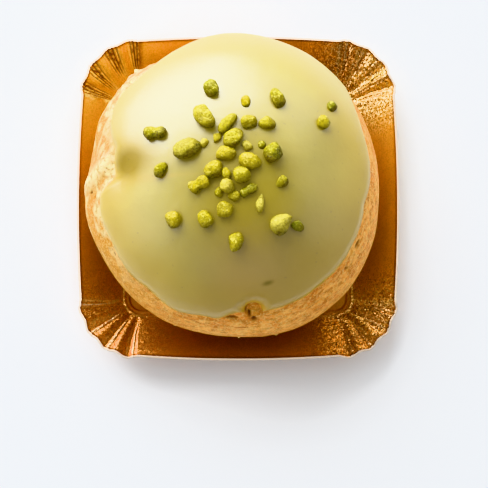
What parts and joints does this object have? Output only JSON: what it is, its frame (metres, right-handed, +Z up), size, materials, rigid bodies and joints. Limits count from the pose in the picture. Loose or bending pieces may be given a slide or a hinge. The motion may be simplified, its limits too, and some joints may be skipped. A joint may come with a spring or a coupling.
{
  "type": "cream puff",
  "caption": "Round choux bun under a poured pistachio icing strewn with chopped nuts, standing in a shallow square gold card case with pleated corners",
  "frame": {"origin": "On the ground under the middle of the card case", "axes": "+Z up from the case's underside to the crown of the puff, +Y towards the side where the icing ran furthest down, +X to the right of that"},
  "size_m": [0.0906, 0.092, 0.0495],
  "materials": {
    "choux_crust": "baked, matt",
    "pistachio_icing": "soft gloss",
    "gold_card": "gold foil, satin"
  },
  "bodies": {
    "root": {"choux_bun": "choux_crust", "pistachio_icing": "pistachio_icing", "gold_card_case": "gold_card"}
  },
  "joints": []
}
